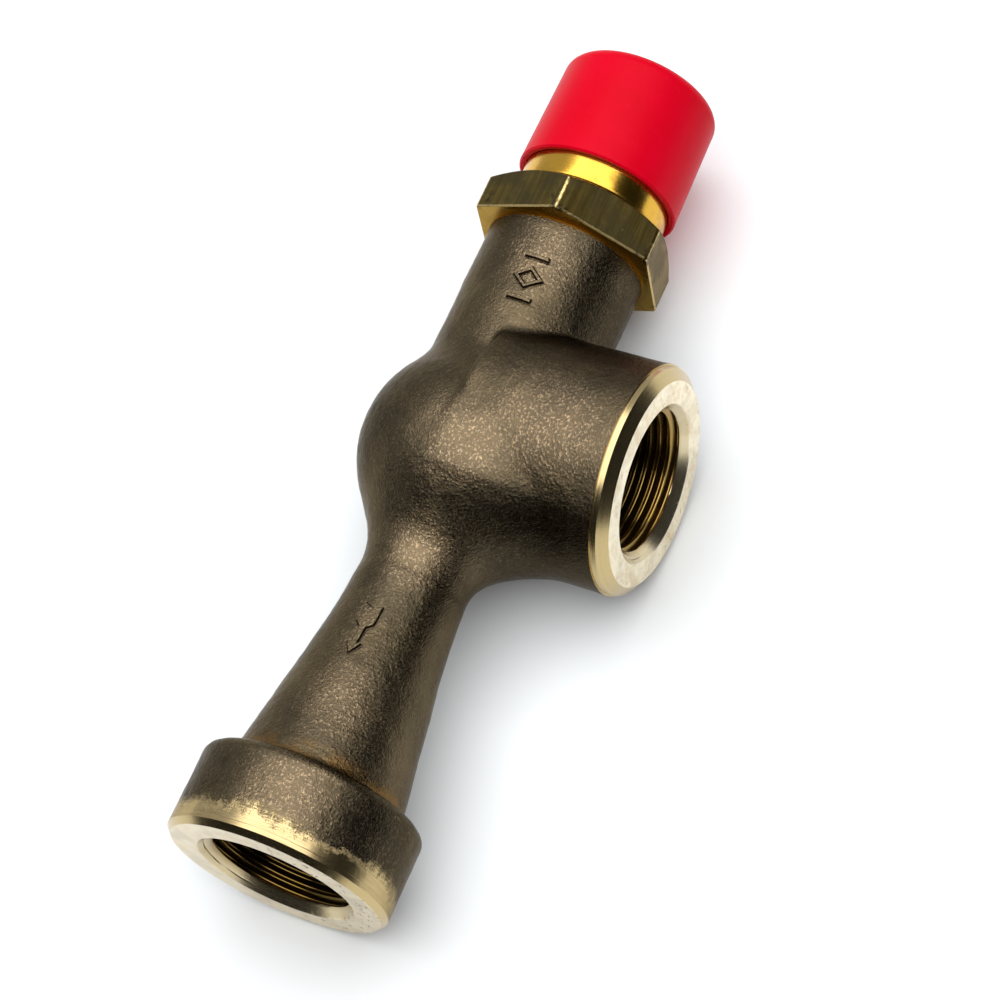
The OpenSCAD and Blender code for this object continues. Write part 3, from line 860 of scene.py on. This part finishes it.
# The barrel with its undercut by the hexagon, the spigot inside the neck, and the bore: the spring chamber,
# then the screw's hole with the groove of its seal.
BARREL = [
    (HEX_X1 - 2, 5), (HEX_X1 - 2, BARREL_R - 0.45), (HEX_X1 + 0.9, BARREL_R - 0.45), (HEX_X1 + 1.3, BARREL_R),
    (BARREL_END - 1, BARREL_R), (BARREL_END, BARREL_R - 1), (BARREL_END, 5),
]
SPIGOT = [(105, 5), (105, 11.35), (HEX_X0 + 1, 11.35), (HEX_X0 + 1, 5)]
BONNET_BORE = [
    (104, 9.1), (106.1, 9.1), (106.11, 8.4), (140, 8.4), (140.01, SCREW_HOLE_R), (142.2, SCREW_HOLE_R),
    (142.21, 5.3), (143.8, 5.3), (143.81, SCREW_HOLE_R), (BARREL_END - 0.5, SCREW_HOLE_R),
    (BARREL_END + 0.5, SCREW_HOLE_R + 1),
]


def make_bonnet():
    hexagon = hex_solid("bonnet_shell", HEX_X0, HEX_X1, HEX_AF, HEX_TURN, HEX_AF / 2 - 0.5, HEX_BRASS)
    bonnet = fix_normals(hexagon)
    weld(bonnet, polar_solid("barrel", dense(rounded(BARREL, 0.25), 1.5), BARREL_BRASS))
    weld(bonnet, polar_solid("spigot", SPIGOT, MACHINED_BRASS))
    cut(bonnet, bore_tool(BONNET_BORE, MACHINED_BRASS))
    return sharpen(bonnet, 25)


bonnet = make_bonnet()
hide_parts("bonnet")
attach(bonnet, "housing")


# ---------------------------------------------------------------- protective cap

def cap_outline():
    """Closed (x, r) outline of the cap's wall, with a rounded lip and a rounded closed end."""
    lip_x, top_x = CAP_LOW[0], CAP_HIGH[0]
    lip_r, end_r, wall, edge = CAP_HIGH[1], 14.23, 1.2, 2.5
    inner = BARREL_R + 0.07
    path = [(lip_x + 0.25, inner), (lip_x, inner + 0.3), (lip_x, lip_r - 0.3), (lip_x + 0.3, lip_r)]
    for a in np.linspace(0, math.pi / 2, 16):
        path.append((top_x - edge + edge * math.sin(a), end_r - edge + edge * math.cos(a)))
    path += [(top_x, 0.001), (top_x - wall, 0.001), (top_x - wall, end_r - wall - 1.3),
             (top_x - wall - 1.3, end_r - wall), (148, inner)]
    return path


cap = sharpen(ring_solid("protective_cap_shell", cap_outline(), CAP_PLASTIC), 40)
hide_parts("protective_cap")
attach(cap, "cap")


# ---------------------------------------------------------------- adjuster: screw, nut and washer

SCREW_R = 4.0
SCREW_PITCH = 1.25
NUT_AF, NUT_FACE_R = 13.0, 6.3
BALL_X, BALL_POCKET_R = 137.0, 2.05
SLOT_W, SLOT_DEPTH = 1.4, 1.8


def screw_thread(x, r, a):
    """Male thread cut into the screw, fading out at both ends."""
    turn = (x / SCREW_PITCH - a / (2 * np.pi)) % 1
    groove = np.clip(np.abs(turn - 0.5) * 2.6 - 0.25, 0, 1)
    fade = np.clip((x - SCREW_LOW[0] - 0.4) / 0.8, 0, 1) * np.clip((SCREW_HIGH[0] - 0.2 - x) / 0.6, 0, 1)
    chamfer = np.clip(x - (SCREW_HIGH[0] - 0.7), 0, None)
    return np.where(r < SCREW_R, r, np.minimum(SCREW_R - 0.62 * groove * fade, SCREW_R - chamfer))


def box_solid(low, high, material):
    """Plain box between two corners."""
    sides = zip(low, high)
    corners = list(itertools.product(*sides))
    faces = [(0, 1, 3, 2), (4, 6, 7, 5), (0, 4, 5, 1), (2, 3, 7, 6), (0, 2, 6, 4), (1, 5, 7, 3)]
    return new_object("box", corners, faces, material)


def make_screw():
    x0, x1 = SCREW_LOW[0], SCREW_HIGH[0]
    rows = [(x0, 1.0)] + [(x, SCREW_R) for x in np.arange(x0, x1, SCREW_PITCH / 14)]
    rows += [(x1, SCREW_R), (x1, 1.0)]
    screw = fix_normals(polar_solid("adjusting_screw_detail", rows, PLAIN_STEEL, 128, screw_thread))
    arc = [BALL_POCKET_R * math.cos(t) for t in np.linspace(0, math.pi, 25)]
    pocket = [(BALL_X - c, math.sqrt(max(BALL_POCKET_R ** 2 - c * c, 0)) + 0.002) for c in arc]
    cut(screw, polar_solid("pocket", pocket, PLAIN_STEEL, 64))
    cut(screw, box_solid((x1 - SLOT_DEPTH, -6, -SLOT_W / 2), (x1 + 1, 6, SLOT_W / 2), PLAIN_STEEL))
    return sharpen(screw, 30)


def make_nut():
    x0, x1 = NUT_LOW[0], NUT_HIGH[0]
    nut = fix_normals(hex_solid("lock_nut_detail", x0, x1, NUT_AF, 0.0, NUT_FACE_R, PLAIN_STEEL, both=True))
    sink = 0.55
    hole = SCREW_HOLE_R
    mouth = hole + sink + 0.5
    bore = [(x0 - 0.5, mouth), (x0 + sink, hole), (x1 - sink, hole), (x1 + 0.5, mouth)]
    cut(nut, bore_tool(bore, PLAIN_STEEL))
    return sharpen(nut, 28)


def make_washer():
    x0, x1 = WASHER_LOW[0], WASHER_HIGH[0]
    inner, outer = SCREW_HOLE_R, WASHER_HIGH[1]
    corners = [(x0, inner + 0.5), (x0, outer), (x1, outer), (x1, inner), (x0, inner), (x0, inner + 0.5)]
    washer = ring_solid("lock_washer_detail", rounded(corners, 0.18)[:-1], PLAIN_STEEL, 128)
    return sharpen(washer, 40)


ADJUSTER = (
    (make_screw(), "adjusting_screw", "screw"),
    (make_nut(), "lock_nut", "nut"),
    (make_washer(), "lock_washer", "washer"),
)
for piece, node, rider in ADJUSTER:
    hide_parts(node)
    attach(piece, rider)


# ---------------------------------------------------------------- spring

WIRE_R, COIL_R, TURNS = 0.9, 6.2, 11
SPLIT_TURN = 7         # the spring is made in two pieces split at this turn: the coils below it are attached to the housing, the coils above it to nothing


def spring_height(turn):
    """Where the wire's centre is after so many turns, along the spring's axis. The end coils are closed."""
    start, end = SPRING_LOW[0] + WIRE_R, SPRING_HIGH[0] - WIRE_R
    closed = 2 * WIRE_R + 0.05
    x = np.interp(turn, [0, 1, TURNS - 1, TURNS], [start, start + closed, end - closed, end])
    return x + np.interp(turn, [0, 0.8, TURNS - 0.8, TURNS], [-0.5 * WIRE_R, 0, 0, 0.5 * WIRE_R])


def make_coils(name, first, last, sides=14, steps_per_turn=48):
    """Part of a closed and ground compression spring, from one turn to another."""
    steps = (last - first) * steps_per_turn
    turn = first + np.arange(steps + 1) / steps_per_turn
    a = 2 * np.pi * turn[:, None]
    b = 2 * np.pi * np.arange(sides)[None, :] / sides
    r = COIL_R + WIRE_R * np.cos(b) + 0 * a
    along = np.clip(spring_height(turn)[:, None] + WIRE_R * np.sin(b), SPRING_LOW[0], SPRING_HIGH[0])
    points = np.stack([along, r * np.cos(a), r * np.sin(a)], -1).reshape(-1, 3)
    faces = [
        [i * sides + k, i * sides + (k + 1) % sides, (i + 1) * sides + (k + 1) % sides, (i + 1) * sides + k]
        for i in range(steps) for k in range(sides)
    ]
    faces.append(list(range(sides - 1, -1, -1)))
    faces.append([steps * sides + k for k in range(sides)])
    coils = sharpen(fix_normals(new_object(name, points, faces, SPRING_STEEL)), 50)
    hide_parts("spring")
    return coils


lower_coils = make_coils("spring_lower_coils", 0, SPLIT_TURN)
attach(lower_coils, "housing")
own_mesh(lower_coils)

upper_coils = make_coils("spring_upper_coils", SPLIT_TURN, TURNS)
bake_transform(upper_coils)


# ---------------------------------------------------------------- CAD pieces that stay as they are

SLOT_MATERIALS = {"machined_brass": MACHINED_BRASS, "seal_rubber": SEAL_RUBBER, "plain_steel": PLAIN_STEEL}
SLOTS = {s["node"]: s["material_slot"] for s in frame["record"]["subparts"]}
REPLACED = ("valve_body", "bonnet", "protective_cap", "adjusting_screw", "lock_nut", "lock_washer", "spring")

for name, node in frame["nodes"].items():
    if name not in REPLACED:
        for slot in node.material_slots:
            slot.material = SLOT_MATERIALS[SLOTS[name]]


# ---------------------------------------------------------------- floor, light and camera

FLOOR_X0, FLOOR_X1 = -100.0, 900.0
FLOOR_Y0, FLOOR_Y1 = -150.0, 900.0


def floor_paint():
    """Matt white studio paper with a trace of unevenness."""
    g = Graph("floor_paper")
    cloud = g.noise(0.02, 3.0, 0.5)
    color = g.mix(cloud, (0.86, 0.885, 0.90), (0.88, 0.90, 0.91))
    return g.use(Base_Color=color, Metallic=0.0, Roughness=0.8, Specular_IOR_Level=0.2)


def make_floor():
    """The paper ends close to the object on two sides, so that polished metal shows a dark room beyond it."""
    z = -BOSS_R - 0.05
    x0, x1, y0, y1 = FLOOR_X0, FLOOR_X1, FLOOR_Y0, FLOOR_Y1
    corners = [(x0, y0, z), (x1, y0, z), (x1, y1, z), (x0, y1, z)]
    floor = new_object("floor", corners, [(0, 1, 2, 3)], floor_paint())
    return floor


def sun(name, direction, spread, strength, color=(1, 1, 1)):
    """Broad soft light that comes from a direction and covers spread degrees of the sky."""
    data = bpy.data.lights.new(name, "SUN")
    data.angle = math.radians(spread)
    data.energy = strength
    data.color = color
    made = bpy.data.objects.new(name, data)
    bpy.context.scene.collection.objects.link(made)
    made.rotation_mode = "QUATERNION"
    made.rotation_quaternion = (-Vector(direction)).to_track_quat("-Z", "Y")
    return made


def make_world():
    """Dim studio round the object. The camera itself sees white beyond the floor."""
    world = bpy.data.worlds.new("studio")
    bpy.context.scene.world = world
    world.use_nodes = True
    nodes, links = world.node_tree.nodes, world.node_tree.links
    room = nodes["Background"]
    room.inputs["Color"].default_value = (0.9, 0.95, 1, 1)
    room.inputs["Strength"].default_value = 0.012
    paper = nodes.new("ShaderNodeBackground")
    paper.inputs["Color"].default_value = (1, 1, 1, 1)
    seen = nodes.new("ShaderNodeLightPath").outputs["Is Camera Ray"]
    both = nodes.new("ShaderNodeMixShader")
    links.new(seen, both.inputs[0])
    links.new(room.outputs[0], both.inputs[1])
    links.new(paper.outputs[0], both.inputs[2])
    links.new(both.outputs[0], nodes["World Output"].inputs["Surface"])


CAMERA_PLACE = (-0.1332, -0.2315, 0.5092)
CAMERA_RIGHT = (0.39450, -0.88959, -0.23020)
CAMERA_DOWN = (-0.84993, -0.25803, -0.45939)
CAMERA_FORWARD = (0.34927, 0.37688, -0.85789)


def make_camera():
    """Long lens that looks down on the object from beyond its outlet."""
    data = bpy.data.cameras.new("camera")
    camera = bpy.data.objects.new("camera", data)
    bpy.context.scene.collection.objects.link(camera)
    data.sensor_width = 36
    data.lens = 127.83
    data.clip_start = 0.05
    data.clip_end = 20
    rows = (Vector(CAMERA_RIGHT), -Vector(CAMERA_DOWN), -Vector(CAMERA_FORWARD))
    turn = Matrix(rows).transposed().to_4x4()
    camera.matrix_world = Matrix.Translation(Vector(CAMERA_PLACE)) @ turn
    bpy.context.scene.camera = camera


make_floor()
sun("overhead_softbox", (0.0, -0.1, 0.99), 82, 3.9)
sun("side_softbox", (0.45, 0.85, 0.30), 110, 1.15, (0.95, 0.97, 1))
make_world()
make_camera()
bpy.context.scene.view_settings.view_transform = "Standard"
